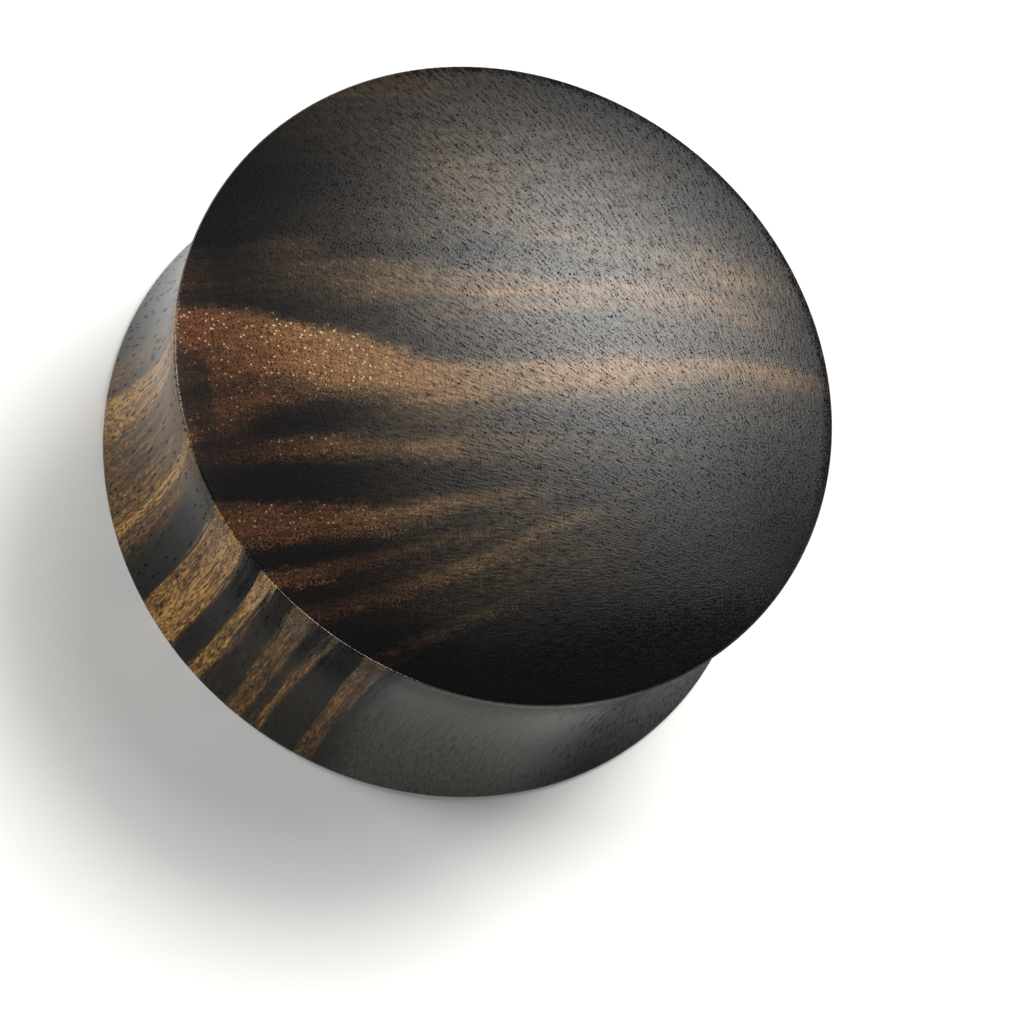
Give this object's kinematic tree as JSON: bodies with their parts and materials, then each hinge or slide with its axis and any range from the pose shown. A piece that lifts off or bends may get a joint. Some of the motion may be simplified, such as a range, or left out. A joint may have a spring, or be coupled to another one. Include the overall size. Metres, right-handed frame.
{
  "type": "ear plug gauge",
  "caption": "Solid striped dark-wood saddle ear plug: a domed front face, a hollowed waist between two flared rims and a flat back.",
  "frame": {"origin": "middle of the flat back face, which the plug lies on", "axes": "+Z along the plug's own axis, from the back face towards the domed front face; +X and +Y across the round plug"},
  "size_m": [0.0268, 0.0268, 0.0135],
  "materials": {
    "striped_dark_wood": "oiled and polished, satin gloss"
  },
  "bodies": {
    "root": {"plug": "striped_dark_wood"}
  },
  "joints": []
}
